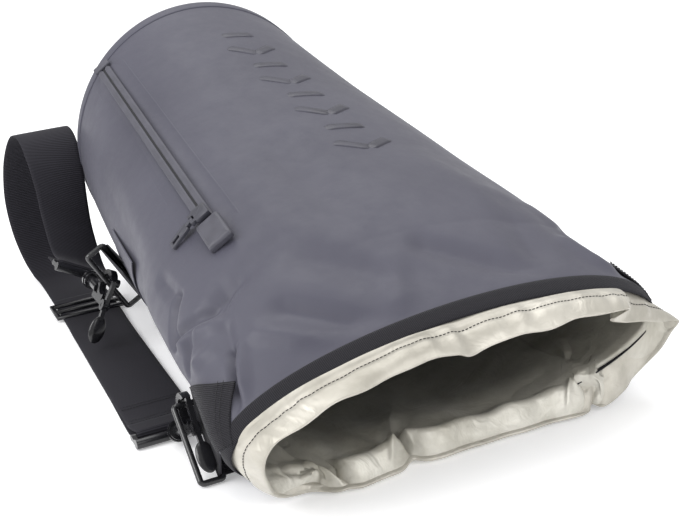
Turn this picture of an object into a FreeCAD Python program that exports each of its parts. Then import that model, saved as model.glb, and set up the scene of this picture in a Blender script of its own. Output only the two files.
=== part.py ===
import FreeCAD, Part
import math
import os

from FreeCAD import Placement, Rotation, Vector

# Dry bag: a roll-top bag of welded coated fabric, lying on its side with its mouth open, with a
# welded zip pocket, webbing tabs with rings, and a shoulder strap on two swivel snap hooks.
# Millimetres. The bag lies along Y with its mouth toward -Y and its closed base toward +Y,
# the floor is Z = 0, and the origin is the bottom centre of everything together.

doc = FreeCAD.newDocument("DryBag")
sheet = doc.addObject("Spreadsheet::Sheet", "Sizes")

DIMENSIONS = {
    # where the bag's centreline and the plane of its mouth binding stand in the part's frame
    "bagAcross": 9.4, "mouthAlong": -231.1,
    # fabric body: its cross-sections are ellipses, round at the base and flat at the mouth
    "bagLength": 436.0, "baseRadius": 115.0,
    "rimHalf": 150.0, "rimRise": 47.0, "rimAlong": -17.0, "rimPitch": 20.0, "rimTilt": 3.5,
    "neckHalf": 156.0, "neckRise": 53.0, "neckAlong": 8.0, "neckPitch": 9.0, "neckTilt": 3.5,
    "chestHalf": 152.0, "chestRise": 68.0, "chestAlong": 62.0,
    "waistHalf": 142.5, "waistRise": 84.0, "waistAlong": 185.0,
    "hipHalf": 129.0, "hipRise": 100.0, "hipAlong": 320.0,
    "fabricWall": 0.9, "floorSag": 1.6, "tread": 0.15, "linerGap": 2.5, "linerWall": 0.7,
    "tapeWidth": 14.0, "tapeWall": 1.3,
    "battenWidth": 20.0, "battenLength": 230.0, "battenWall": 1.1,
    "basePanelWall": 2.0, "weldWidth": 10.0, "weldWall": 1.2,
    "seamWidth": 14.0,
    # zip pocket on the upper left flank
    "zipLength": 278.0, "zipPanelWidth": 44.0, "zipPanelWall": 0.8, "zipMargin": 12.0,
    "lipWidth": 5.2, "lipHeight": 2.4, "lipGap": 1.6,
    "garageLength": 30.0, "garageWidth": 19.0, "garageHeight": 6.5,
    "sliderLength": 13.0, "sliderWidth": 11.0, "sliderHeight": 4.0,
    "pullLength": 23.0, "pullWidth": 7.5, "pullWall": 2.4,
    "pouchWidth": 120.0,
    # webbing tabs and rings
    "webWidth": 50.0, "webWall": 1.4,
    "ringSpan": 55.0, "ringDepth": 15.5, "ringWire": 4.2, "ringBend": 2.3,
    "tabLeg": 60.0,
    # shoulder strap with its two hooks and its slider
    "strapWall": 1.3,
    "loopSpan": 56.0, "loopDepth": 11.0, "rearBar": 2.2, "frontBar": 3.5,
    "collarRadius": 7.5, "collarWall": 3.0, "pinRadius": 2.4,
    "clawRadius": 12.5, "clawBore": 8.5, "hookWall": 5.6,
    "gateWall": 3.2, "leverPadLength": 22.0, "leverPadWidth": 13.0, "leverPadWall": 4.6,
    "pivotRadius": 1.5,
    "glideSpan": 60.0, "glideDepth": 30.0, "glideWall": 2.8, "glideBar": 5.0,
}
for row, (alias, value) in enumerate(DIMENSIONS.items(), start=1):
    sheet.set(f"A{row}", alias)
    sheet.set(f"B{row}", str(value))
    sheet.setAlias(f"B{row}", alias)
doc.recompute()
size = {alias: float(sheet.get(alias)) for alias in DIMENSIONS}

NODES = []
X_AXIS = Vector(1, 0, 0)
Y_AXIS = Vector(0, 1, 0)
Z_AXIS = Vector(0, 0, 1)


def spot(across, along, height):
    """A point given from the bag's centreline, the plane of its mouth binding and the floor."""
    return Vector(size["bagAcross"] + across, size["mouthAlong"] + along, height)


def frame(origin, x_dir, y_dir):
    """The placement whose local X and Y point along the two given directions."""
    x_unit = Vector(x_dir).normalize()
    z_unit = x_unit.cross(Vector(y_dir)).normalize()
    y_unit = z_unit.cross(x_unit)
    matrix = FreeCAD.Matrix(x_unit.x, y_unit.x, z_unit.x, origin.x,
                            x_unit.y, y_unit.y, z_unit.y, origin.y,
                            x_unit.z, y_unit.z, z_unit.z, origin.z,
                            0, 0, 0, 1)
    return Placement(matrix)


def solid(kind, label, base=Vector(), turn=Rotation(), **sizes):
    """A Part primitive whose sizes are expressions of the sheet's cells."""
    item = doc.addObject(f"Part::{kind}", label)
    for name, expression in sizes.items():
        item.setExpression(name, expression)
    item.Placement = Placement(base, turn)
    return item


def fuse(label, parts):
    item = doc.addObject("Part::MultiFuse", label)
    item.Shapes = parts
    return item


def cut(label, base, tool):
    item = doc.addObject("Part::Cut", label)
    item.Base = base
    item.Tool = tool
    return item


def common(label, parts):
    item = doc.addObject("Part::MultiCommon", label)
    item.Shapes = parts
    return item


def node(item, label, placement=None):
    """Names a finished sub-part, puts it in its place and adds it to the exported ones."""
    item.Label = label
    if placement is not None:
        item.Placement = placement
    NODES.append(item)
    return item


# ---- fabric body ---------------------------------------------------------------------------

STATIONS = ["rim", "neck", "chest", "waist", "hip", "base", "tail"]


def station_place(station):
    """Where a cross-section stands: tilted and pitched about its own centre, on the floor."""
    pitch = size.get(f"{station}Pitch", 0.0)
    tilt = size.get(f"{station}Tilt", 0.0)
    round_end = station in ("base", "tail")
    half = size["baseRadius"] if round_end else size[f"{station}Half"]
    rise = size["baseRadius"] if round_end else size[f"{station}Rise"]
    along = {"base": size["bagLength"], "tail": size["bagLength"] + size["basePanelWall"]}
    along = along.get(station, size.get(f"{station}Along", 0.0))
    lean = math.hypot(half * math.sin(math.radians(tilt)), rise * math.cos(math.radians(tilt)))
    lift = -size["floorSag"]
    if station in ("rim", "neck"):
        lift = size["tapeWall"] + size["tread"]
    if round_end:
        lift = size["weldWall"] + size["tread"]
    centre = spot(0, along, lean * math.cos(math.radians(pitch)) + lift)
    turn = Rotation(X_AXIS, pitch) * Rotation(Y_AXIS, -tilt) * Rotation(X_AXIS, 90)
    return Placement(centre, turn)


def body_loft(label, inset, reach=0.0):
    """The bag's outside moved inward by inset, its underside flat, run past its ends by reach."""
    rings = []
    for station in STATIONS:
        round_end = station in ("base", "tail")
        half = "Sizes.baseRadius" if round_end else f"Sizes.{station}Half"
        rise = "Sizes.baseRadius" if round_end else f"Sizes.{station}Rise"
        ring = solid("Ellipse", f"{label}_{station}", MajorRadius=f"{half} - ({inset})",
                     MinorRadius=f"{rise} - ({inset})")
        place = station_place(station)
        outward = {"rim": reach, "tail": -reach}.get(station, 0.0)
        place.Base += place.Rotation.multVec(Z_AXIS) * outward
        ring.Placement = place
        rings.append(ring)
    loft = doc.addObject("Part::Loft", f"{label}_loft")
    loft.Sections = rings
    loft.Solid = True
    loft.Ruled = True
    floor = solid("Box", f"{label}_above_floor", Length="800", Width="800", Height="400")
    floor.Placement = Placement(Vector(-400, -400, 0), Rotation())
    floor.setExpression("Placement.Base.z", f"max(0; {inset})")
    return common(label, [loft, floor])


def skin(label, outer_inset, inner_inset, reach=1.0):
    """The closed wall between two insets, open at both ends."""
    outer = body_loft(f"{label}_outside", outer_inset)
    inner = body_loft(f"{label}_inside", inner_inset, reach)
    return cut(label, outer, inner)


def region(label, along_from, along_to, low=-5.0, high=400.0, half=300.0):
    """A block across the bag, for trimming a skin."""
    item = solid("Box", label)
    item.Length = 2 * half
    item.Width = along_to - along_from
    item.Height = high - low
    item.Placement = Placement(spot(-half, along_from, low), Rotation())
    return item


def slab(label, station, start, length):
    """A tall block square to a leaning section, from start to start + length behind it."""
    item = solid("Box", label)
    item.Length = 600.0
    item.Width = length
    item.Height = 600.0
    lean = Rotation(X_AXIS, size[f"{station}Pitch"])
    item.Placement = Placement(station_place(station).Base, lean) * Placement(
        Vector(-300.0, start, -300.0), Rotation())
    return item


body_end = size["bagLength"] + size["basePanelWall"]
body_back = slab("body_back", "neck", 0.0, 700.0)
body_front = slab("body_front", "neck", -200.0, 200.0)
tape_block = slab("tape_block", "neck", -size["tapeWidth"] / 2, size["tapeWidth"])
weld_block = region("weld_block", body_end - size["weldWidth"], body_end + 5.0, low=-5.0)

wall = skin("fabric_wall", "0", "Sizes.fabricWall")
node(common("shell_trim", [wall, body_back]), "outer_shell")
node(common("hem_trim", [wall, body_front]), "hem_facing")
tape_wall = skin("tape_wall", "-Sizes.tapeWall", "-0.05")
node(common("tape_trim", [tape_wall, tape_block]), "mouth_tape")
weld_wall = skin("weld_wall", "-Sizes.weldWall", "-0.05")
node(common("weld_trim", [weld_wall, weld_block]), "base_weld_rim")
liner_wall = skin("liner_wall", "Sizes.linerGap", "Sizes.linerGap + Sizes.linerWall")
liner_block = region("liner_block", -120.0, size["bagLength"] - 2.0)
node(common("liner_trim", [liner_wall, liner_block]), "liner")

# stiffening strips inside the hem, one in each lip
batten_wall = skin("batten_wall", "Sizes.linerGap - Sizes.battenWall - 0.1",
                   "Sizes.linerGap - 0.1")
batten_band = slab("batten_band", "rim", 3.0, size["battenWidth"])
batten_area = region("batten_area", -150.0, 150.0, low=size["rimRise"] * 1.15,
                     half=size["battenLength"] / 2)
node(common("batten_upper_trim", [batten_wall, batten_band, batten_area]), "batten_upper")
low_area = region("batten_low_area", -150.0, 150.0, low=-5.0, high=size["rimRise"] * 0.8,
                  half=size["battenLength"] / 2)
node(common("batten_lower_trim", [batten_wall, batten_band, low_area]), "batten_lower")

# round base panel welded inside the end of the wall, and the liner's own end
base_height = station_place("base").Base.z
base_panel = solid("Cylinder", "base_disc", Radius="Sizes.baseRadius - Sizes.fabricWall - 0.2",
                   Height="Sizes.basePanelWall")
node(base_panel, "base_panel", Placement(spot(0, body_end, base_height), Rotation(X_AXIS, 90)))
liner_end = solid("Cylinder", "liner_disc", Height="Sizes.linerWall",
                  Radius="Sizes.baseRadius - Sizes.linerGap - Sizes.linerWall - 1.0")
node(liner_end, "liner_base",
     Placement(spot(0, size["bagLength"] - 2.5, base_height), Rotation(X_AXIS, 90)))

# sealing tape over the liner's long seam, on the left of the inside
seam_wall = skin("seam_wall", "Sizes.linerGap + Sizes.linerWall + 0.05",
                 "Sizes.linerGap + Sizes.linerWall + 0.6")
seam_block = solid("Box", "seam_block")
seam_block.Length = 100.0
seam_block.Width = size["bagLength"] - 12.0
seam_block.Height = size["seamWidth"]
seam_block.Placement = Placement(spot(-170.0, 6.0, size["rimRise"] - 8.0),
                                 Rotation(X_AXIS, 7.0))
node(common("seam_trim", [seam_wall, seam_block]), "liner_seam_tape")

# ---- zip pocket ----------------------------------------------------------------------------

ZIP_NEAR = spot(-101.0, 145.0, 137.0)
ZIP_RUN = Vector(14.0, 274.0, 53.0).normalize()
ZIP_UP = Vector(-0.579, 0.0, 0.815)
ZIP_SIDE = ZIP_RUN.cross(ZIP_UP).normalize()


def zip_frame(side, run, up):
    """A placement on the zip: local X across it, local Y along it to the base, local Z out."""
    place = frame(ZIP_NEAR, ZIP_SIDE, ZIP_RUN)
    place.Base = place.multVec(Vector(side, run, up))
    return place


def zip_block(label, across, along, tall, side, run, up):
    """A block on the zip, given by its sizes and its middle across and its low corners."""
    block = solid("Box", label, Length=across, Width=along, Height=tall)
    doc.recompute()
    block.Placement = zip_frame(side - block.Length.Value / 2, run, up)
    return block


panel_wall = skin("panel_wall", "-Sizes.zipPanelWall", "-0.05")
panel_block = zip_block("panel_block", "Sizes.zipPanelWidth",
                        "Sizes.zipLength + Sizes.garageLength + 2 * Sizes.zipMargin", "40",
                        0.0, -size["garageLength"] - size["zipMargin"], -15.0)
node(common("panel_trim", [panel_wall, panel_block]), "zip_panel")

lip_offset = (size["lipWidth"] + size["lipGap"]) / 2
lip_low = size["zipPanelWall"] + 0.9
for label, side in (("zip_lip_left", -lip_offset), ("zip_lip_right", lip_offset)):
    lip = solid("Box", label, Length="Sizes.lipWidth", Width="Sizes.zipLength",
                Height="Sizes.lipHeight")
    node(lip, label, zip_frame(side - size["lipWidth"] / 2, 0.0, lip_low))
coil = solid("Box", "zip_coil", Length="Sizes.lipGap - 0.2", Width="Sizes.zipLength",
             Height="Sizes.lipHeight / 2")
node(coil, "zip_coil", zip_frame(-(size["lipGap"] - 0.2) / 2, 0.0, lip_low))

# the housing that the slider parks against at the mouth end, with rounded upper edges
housing = solid("Box", "garage_block", Length="Sizes.garageWidth", Width="Sizes.garageLength",
                Height="Sizes.garageHeight")
garage = doc.addObject("Part::Fillet", "garage_round")
garage.Base = housing
doc.recompute()
top_edges = [(index + 1, 3.0, 3.0) for index, edge in enumerate(housing.Shape.Edges)
             if edge.BoundBox.ZMin > size["garageHeight"] - 0.01]
garage.Edges = top_edges
node(garage, "zip_garage",
     zip_frame(-size["garageWidth"] / 2, -size["garageLength"] - 0.5, lip_low - 1.2))
stop = solid("Box", "end_stop", Length="Sizes.garageWidth - 4", Width="8", Height="3.4")
node(stop, "zip_end_stop",
     zip_frame(-size["garageWidth"] / 2 + 2.0, size["zipLength"] + 0.4, lip_low - 0.4))

# slider: a block that rides on the lips, with an ear on its left for the pull's pin
slide_low = lip_low + size["lipHeight"] + 0.4
slide_block = solid("Box", "slide_block", Length="Sizes.sliderWidth",
                    Width="Sizes.sliderLength", Height="Sizes.sliderHeight")
ear = solid("Box", "slide_ear", Vector(-4.0, 1.5, 0.6), Length="4", Width="3", Height="3.4")
ear_far = solid("Box", "slide_ear_far", Vector(-4.0, 8.5, 0.6), Length="4", Width="3",
                Height="3.4")
pull_pin = solid("Cylinder", "slide_pin", Vector(-2.4, 1.5, 2.3), Rotation(X_AXIS, -90),
                 Radius="0.9", Height="10")
SLIDE_START = 1.5
node(fuse("slide_body", [slide_block, ear, ear_far, pull_pin]), "zip_slider",
     zip_frame(-size["sliderWidth"] / 2, SLIDE_START, slide_low))

# pull: a plate on the slider's pin, lying out to the left, with a slot near its free end
pull_plate = solid("Box", "pull_plate", Vector(-size["pullLength"], -size["pullWidth"] / 2, 0),
                   Length="Sizes.pullLength - 5.2", Width="Sizes.pullWidth",
                   Height="Sizes.pullWall")
pull_neck = solid("Box", "pull_neck", Vector(-5.8, -1.6, -0.3), Length="7.1", Width="3.2",
                  Height="3.0")
pull_slot = solid("Box", "pull_slot", Vector(-size["pullLength"] + 2.2, -1.6, -1),
                  Length="7", Width="3.2", Height="6")
pull_eye = solid("Cylinder", "pull_eye", Vector(0, -5, 1.2), Rotation(X_AXIS, -90),
                 Radius="1.2", Height="10")
pull_solid = fuse("pull_solid", [pull_plate, pull_neck])
pull_open = cut("pull_open", pull_solid, pull_slot)
PULL_TURN = 14.0
pull_place = zip_frame(-size["sliderWidth"] / 2 - 2.4, SLIDE_START + 6.5, slide_low + 1.1)
pull_place = pull_place * Placement(Vector(0, 0, 1.2), Rotation(Y_AXIS, -PULL_TURN))
pull_place = pull_place * Placement(Vector(0, 0, -1.2), Rotation())
node(cut("pull_cut", pull_open, pull_eye), "zip_puller", pull_place)

# inner pouch behind the zip: a flat fabric bag against the liner
pouch_wall = skin("pouch_wall", "Sizes.linerGap + Sizes.linerWall + 0.4",
                  "Sizes.linerGap + Sizes.linerWall + 1.2")
pouch_block = zip_block("pouch_block", "Sizes.pouchWidth", "Sizes.zipLength - 30", "60",
                        0.0, 10.0, -40.0)
node(common("pouch_trim", [pouch_wall, pouch_block]), "pocket_pouch")

# ---- rings and webbing tabs ----------------------------------------------------------------

bag_mass = body_loft("bag_mass", "-0.3")

def ring(label, placement):
    """A rounded ring of wire: its bar lies on local X through the origin, its bow toward Y."""
    bend = size["ringBend"]
    span = size["ringSpan"]
    depth = size["ringDepth"]
    runs = [(Vector(-span / 2 + bend, 0, 0), Y_AXIS, 90, "Sizes.ringSpan - 2 * Sizes.ringBend"),
            (Vector(-span / 2 + bend, depth, 0), Y_AXIS, 90,
             "Sizes.ringSpan - 2 * Sizes.ringBend"),
            (Vector(-span / 2, bend, 0), X_AXIS, -90, "Sizes.ringDepth - 2 * Sizes.ringBend"),
            (Vector(span / 2, bend, 0), X_AXIS, -90, "Sizes.ringDepth - 2 * Sizes.ringBend")]
    pieces = []
    for index, (base, axis, angle, length) in enumerate(runs):
        pieces.append(solid("Cylinder", f"{label}_run_{index}", base, Rotation(axis, angle),
                            Radius="Sizes.ringWire / 2", Height=length))
    corners = [(span / 2 - bend, depth - bend, 0), (-span / 2 + bend, depth - bend, 90),
               (-span / 2 + bend, bend, 180), (span / 2 - bend, bend, 270)]
    for index, (across, along, angle) in enumerate(corners):
        pieces.append(solid("Torus", f"{label}_corner_{index}", Vector(across, along, 0),
                            Rotation(Z_AXIS, angle), Radius1="Sizes.ringBend",
                            Radius2="Sizes.ringWire / 2", Angle3="90"))
    node(fuse(f"{label}_wire", pieces), label, placement)


def tab(label, placement):
    """A webbing strip folded round a ring's bar, its two legs run to -Y and trimmed by the bag."""
    fold = size["ringWire"] / 2 + 0.3
    outer = solid("Cylinder", f"{label}_fold", Radius=f"{fold} + Sizes.webWall",
                  Height="Sizes.webWidth", Angle="180")
    inner = solid("Cylinder", f"{label}_eye", Radius=f"{fold}", Height="Sizes.webWidth")
    bend = cut(f"{label}_bend", outer, inner)
    bend.Placement = Placement(Vector(-size["webWidth"] / 2, 0, 0), Rotation(Y_AXIS, 90))
    legs = []
    for side, low in (("upper", fold), ("lower", -fold - size["webWall"])):
        legs.append(solid("Box", f"{label}_{side}", Vector(-size["webWidth"] / 2,
                                                          -size["tabLeg"], low),
                          Length="Sizes.webWidth", Width="Sizes.tabLeg",
                          Height="Sizes.webWall"))
    strip = fuse(f"{label}_strip", [bend] + legs)
    strip.Placement = placement
    return node(cut(f"{label}_cut", strip, bag_mass), label)


# each side tab leaves the bag below its flank, close behind the mouth binding, and leans
# away from the mouth as it rises; the ring's bar is its local X
RING_LEAN = Vector(0, 0.745, 0.667)
LEFT_BAR = spot(-143.0, 69.0, 20.5)
left_frame = frame(LEFT_BAR, RING_LEAN, -X_AXIS)
ring("ring_left", left_frame)
left_tab = tab("tab_left", left_frame)
RIGHT_BAR = spot(143.0, 69.0, 20.5)
ring("ring_right", frame(RIGHT_BAR, -RING_LEAN, X_AXIS))
tab_mirror = doc.addObject("Part::Mirroring", "tab_mirror")
tab_mirror.Source = left_tab
tab_mirror.Normal = X_AXIS
tab_mirror.Base = spot(0, 0, 0)
node(tab_mirror, "tab_right")

# the rear ring stands off the flank near the base, on a tab that lies along the fabric
REAR_OUT = Vector(-0.873, 0, -0.488)
REAR_BAR = spot(-121.6, 300.0, 60.0) + REAR_OUT * 4.5
REAR_SWING = REAR_OUT
rear_frame = frame(REAR_BAR, Vector(-0.488, 0, 0.873), REAR_SWING)
ring("ring_rear", rear_frame)
rear_tab = tab("tab_rear", frame(REAR_BAR, Vector(-0.488, 0, 0.873), Y_AXIS))
patch_wall = skin("patch_wall", "-Sizes.webWall * 0.55", "-0.05")
patch_block = solid("Box", "patch_block", Length="76", Width="70", Height="30")
patch_block.Placement = frame(REAR_BAR, Vector(-0.488, 0, 0.873), Y_AXIS) * Placement(
    Vector(-38, -82, -15), Rotation())
patch_flat = common("patch_trim", [patch_wall, patch_block])
node(cut("patch_cut", patch_flat, rear_tab), "patch_rear")

# ---- shoulder strap ------------------------------------------------------------------------


def ribbon(label, stations, width, thickness):
    """A flat strip through stations, each a centre, the direction across it and its normal."""
    wires = []
    for centre, across, normal in stations:
        side = Vector(across).normalize() * (width / 2)
        lift = Vector(normal).normalize() * (thickness / 2)
        corners = [centre - side - lift, centre + side - lift, centre + side + lift,
                   centre - side + lift]
        wires.append(Part.makePolygon(corners + corners[:1]))
    item = doc.addObject("Part::Feature", label)
    item.Shape = Part.makeLoft(wires, True, True)
    return node(item, label)


def along_path(points, across):
    """Stations through points, the normal at each being square to the path and the width."""
    stations = []
    for index, point in enumerate(points):
        before = points[max(index - 1, 0)]
        after = points[min(index + 1, len(points) - 1)]
        width_dir = across[index]
        stations.append((point, width_dir, (after - before).cross(width_dir)))
    return stations


def loop_round(centre, forward, up, first, last, steps=6):
    """Points round a bar, from angle first to last, measured from forward toward up."""
    radius = size["rearBar"] + 0.3 + size["strapWall"] / 2
    points = []
    for step in range(steps + 1):
        angle = math.radians(first + (last - first) * step / steps)
        points.append(centre + forward * (radius * math.cos(angle))
                      + up * (radius * math.sin(angle)))
    return points


FRONT_BASE = spot(-151.5, 119.0, size["frontBar"] + 0.1)
REAR_HOOK_UP = Vector(0.5, 0, 0.866)
wire_middle = REAR_BAR + REAR_SWING * size["ringDepth"]
REAR_BASE = wire_middle + Vector(0, 45.5, 0) - REAR_HOOK_UP * 9.5
FORWARD = Vector(0, -1, 0)
front_bar = FRONT_BASE + Vector(0, size["loopDepth"], 0.25)
rear_bar = REAR_BASE + Vector(0, size["loopDepth"], 0)
GLIDE_AT = spot(-141.0, 375.0, 0)

top_layer = size["glideWall"] + 2.0 * 1.9 - 0.4
floor_layer = size["strapWall"] / 2 + 0.05
path = [spot(-140.0, 402.0, top_layer), spot(-142.5, 345.0, top_layer),
        spot(-144.5, 318.0, 2.6), spot(-151.5, 160.0, 2.6),
        spot(-153.5, 140.0, front_bar.z + 3.15)]
path += loop_round(front_bar, FORWARD, Z_AXIS, 90, -90)
path += [spot(-153.5, 142.0, floor_layer), spot(-147.0, 260.0, floor_layer),
         spot(-141.0, 375.0, floor_layer), spot(-138.5, 448.0, floor_layer),
         spot(-141.0, 469.0, 5.0), spot(-145.0, 484.0, 18.0), spot(-149.0, 493.0, 42.0),
         spot(-150.5, 495.0, 72.0), spot(-148.0, 490.0, 103.0), spot(-144.0, 478.0, 126.0),
         spot(-141.0, 461.0, 138.0), spot(-139.0, 443.0, 134.0), spot(-139.0, 428.0, 116.0),
         spot(-140.0, 416.0, 90.0), spot(-141.0, 405.0, 68.0),
         rear_bar + Vector(0, 24.0, 0) + REAR_HOOK_UP * 3.6]
path += loop_round(rear_bar, FORWARD, REAR_HOOK_UP, 90, -90)
path += [rear_bar + Vector(0, 26.0, 0) - REAR_HOOK_UP * 3.15]
across = []
REAR_ACROSS = Vector(0.866, 0, -0.5)
for index, point in enumerate(path):
    turned = (index - 24) / 4.0
    share = min(max(turned, 0.0), 1.0)
    across.append(X_AXIS * (1 - share) + REAR_ACROSS * share)
ribbon("strap_webbing", along_path(path, across), size["webWidth"] - 2.0, size["strapWall"])

# three-bar slider: two layers of webbing pass above and below its bars
glide_plate = solid("Box", "glide_plate", Vector(-size["glideSpan"] / 2, -size["glideDepth"] / 2,
                                                 0), Length="Sizes.glideSpan",
                    Width="Sizes.glideDepth", Height="Sizes.glideWall")
slot_depth = (size["glideDepth"] - 3 * size["glideBar"]) / 2
slots = []
for index, start in enumerate((-slot_depth - size["glideBar"] / 2, size["glideBar"] / 2)):
    slots.append(solid("Box", f"glide_slot_{index}",
                       Vector(-(size["webWidth"] + 2) / 2, start, -1),
                       Length="Sizes.webWidth + 2",
                       Width="(Sizes.glideDepth - 3 * Sizes.glideBar) / 2", Height="10"))
glide_frame = cut("glide_frame", glide_plate, fuse("glide_slots", slots))
glide_place = Placement(GLIDE_AT + Vector(0, 0, 2.0), Rotation(Z_AXIS, -1.3))
node(glide_frame, "strap_slider", glide_place)

# ---- swivel snap hooks ---------------------------------------------------------------------


def hook(prefix, base, up, rise):
    """One hook: a webbing loop, and a claw that swivels on it and is shut by a sprung lever.

    Local X lies along the loop's bars, local Y toward the ring, local Z away from the strap.
    The claw's own frame is turned up by rise degrees about the loop's front bar.
    """
    loop_place = frame(base, FORWARD.cross(up), FORWARD)
    axis_place = loop_place * Placement(Vector(), Rotation(X_AXIS, rise))
    span = size["loopSpan"]
    depth = size["loopDepth"]
    bars = [solid("Cylinder", f"{prefix}_front_bar", Vector(-span / 2, 0, 0),
                  Rotation(Y_AXIS, 90), Radius="Sizes.frontBar", Height="Sizes.loopSpan"),
            solid("Cylinder", f"{prefix}_rear_bar", Vector(-span / 2, -depth, 0),
                  Rotation(Y_AXIS, 90), Radius="Sizes.rearBar", Height="Sizes.loopSpan")]
    for index, side in enumerate((-1, 1)):
        bars.append(solid("Box", f"{prefix}_arm_{index}",
                          Vector(side * (span / 2 - 1.6) - 1.6, -depth, -1.7),
                          Length="3.2", Width="Sizes.loopDepth", Height="3.4"))
    stem_turn = Rotation(X_AXIS, rise) * Rotation(X_AXIS, -90)
    axis_dir = Rotation(X_AXIS, rise).multVec(Y_AXIS)
    bars.append(solid("Cylinder", f"{prefix}_boss", axis_dir * 2.0, stem_turn,
                      Radius="Sizes.collarRadius - 3.3", Height="9"))
    bars.append(solid("Cylinder", f"{prefix}_collar", axis_dir * 9.0, stem_turn,
                      Radius="Sizes.collarRadius", Height="Sizes.collarWall"))
    bars.append(solid("Cylinder", f"{prefix}_pin", axis_dir * 11.0, stem_turn,
                      Radius="Sizes.pinRadius", Height="11"))
    node(fuse(f"{prefix}_loop", bars), f"{prefix}_base", loop_place)

    # claw body: a shaft with a flange, an open ring and two cheeks for the lever's pivot
    wall_half = size["hookWall"] / 2
    shaft = solid("Cylinder", f"{prefix}_shaft", Vector(0, 12.5, 0), Rotation(X_AXIS, -90),
                  Radius="4.6", Height="21")
    flange = solid("Cylinder", f"{prefix}_flange", Vector(0, 12.5, 0), Rotation(X_AXIS, -90),
                   Radius="Sizes.collarRadius - 0.6", Height="Sizes.collarWall")
    claw_middle = Vector(-wall_half, CLAW_ALONG, CLAW_UP)
    claw_disc = solid("Cylinder", f"{prefix}_claw_disc", claw_middle, Rotation(Y_AXIS, 90),
                      Radius="Sizes.clawRadius", Height="Sizes.hookWall")
    neck = solid("Box", f"{prefix}_neck", Vector(-wall_half, 30.0, -8.0),
                 Length="Sizes.hookWall", Width="27", Height="5")
    mass = fuse(f"{prefix}_mass", [shaft, flange, claw_disc, neck])
    eye = solid("Cylinder", f"{prefix}_eye", claw_middle - X_AXIS, Rotation(Y_AXIS, 90),
                Radius="Sizes.clawBore", Height="Sizes.hookWall + 2")
    gap = solid("Box", f"{prefix}_gap",
                Vector(-wall_half - 1, CLAW_ALONG + size["clawBore"] * 0.62, CLAW_UP - 12.0),
                Length="Sizes.hookWall + 2", Width="30", Height="19.2")
    pin_hole = solid("Cylinder", f"{prefix}_pin_hole", Vector(0, 11.5, 0),
                     Rotation(X_AXIS, -90), Radius="Sizes.pinRadius + 0.3", Height="11.3")
    pivot_hole = solid("Cylinder", f"{prefix}_pivot_hole",
                       Vector(-wall_half - 1, PIVOT_ALONG, PIVOT_UP), Rotation(Y_AXIS, 90),
                       Radius="Sizes.pivotRadius", Height="Sizes.hookWall + 2")
    fork = solid("Box", f"{prefix}_fork", Vector(-size["gateWall"] / 2 - 0.4, 50.4, -16),
                 Length="Sizes.gateWall + 0.8", Width="20", Height="17")
    cheek = solid("Cylinder", f"{prefix}_cheek", Vector(-wall_half, PIVOT_ALONG, PIVOT_UP),
                  Rotation(Y_AXIS, 90), Radius="4.4", Height="Sizes.hookWall")
    body = cut(f"{prefix}_open", mass, fuse(f"{prefix}_hollow", [eye, gap]))
    body = fuse(f"{prefix}_with_cheeks", [body, cheek])
    tools = fuse(f"{prefix}_tools", [pin_hole, pivot_hole, fork])
    node(cut(f"{prefix}_claw_cut", body, tools), f"{prefix}_claw", axis_place)

    pivot = solid("Cylinder", f"{prefix}_pivot", Radius="Sizes.pivotRadius",
                  Height="Sizes.hookWall - 0.6")
    pivot_place = axis_place * Placement(Vector(-wall_half + 0.3, PIVOT_ALONG, PIVOT_UP),
                                         Rotation(Y_AXIS, 90))
    node(pivot, f"{prefix}_pivot_pin", pivot_place)

    # lever: the gate that shuts the claw, an eye on the pivot, and a thumb pad
    lever_place = axis_place * Placement(Vector(0, PIVOT_ALONG, PIVOT_UP), Rotation())
    hub = solid("Cylinder", f"{prefix}_hub", Vector(-size["gateWall"] / 2, 0, 0),
                Rotation(Y_AXIS, 90), Radius="3.6", Height="Sizes.gateWall")
    gate = solid("Box", f"{prefix}_gate", Vector(-size["gateWall"] / 2, -0.6, 0),
                 Length="Sizes.gateWall", Width="4", Height=f"{GATE_LENGTH}")
    stem = solid("Box", f"{prefix}_stem", Vector(-size["gateWall"] / 2, -1.2, -12),
                 Length="Sizes.gateWall", Width="3.6", Height="12")
    stem.Placement = Placement(Vector(), Rotation(X_AXIS, LEVER_LEAN)) * stem.Placement
    pad = solid("Ellipsoid", f"{prefix}_pad_round",
                Rotation(X_AXIS, LEVER_LEAN).multVec(Vector(0, 0.6, -20.0)),
                Rotation(X_AXIS, LEVER_LEAN),
                Radius1="Sizes.leverPadLength / 2", Radius2="Sizes.leverPadWidth / 2",
                Radius3="Sizes.leverPadWall / 2")
    lever_eye = solid("Cylinder", f"{prefix}_lever_eye", Vector(-8, 0, 0), Rotation(Y_AXIS, 90),
                      Radius="Sizes.pivotRadius + 0.3", Height="16")
    lever = cut(f"{prefix}_lever_cut", fuse(f"{prefix}_lever_mass", [hub, gate, stem, pad]),
                lever_eye)
    node(lever, f"{prefix}_lever", lever_place)


CLAW_ALONG = 46.5
CLAW_UP = 7.5
PIVOT_ALONG = 56.5
PIVOT_UP = -6.5
GATE_LENGTH = 20.6
LEVER_LEAN = 12.0

hook("hook_front", FRONT_BASE, Z_AXIS, 35.0)
hook("hook_rear", REAR_BASE, REAR_HOOK_UP, 0.0)

# ---- checks and files ----------------------------------------------------------------------

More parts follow.
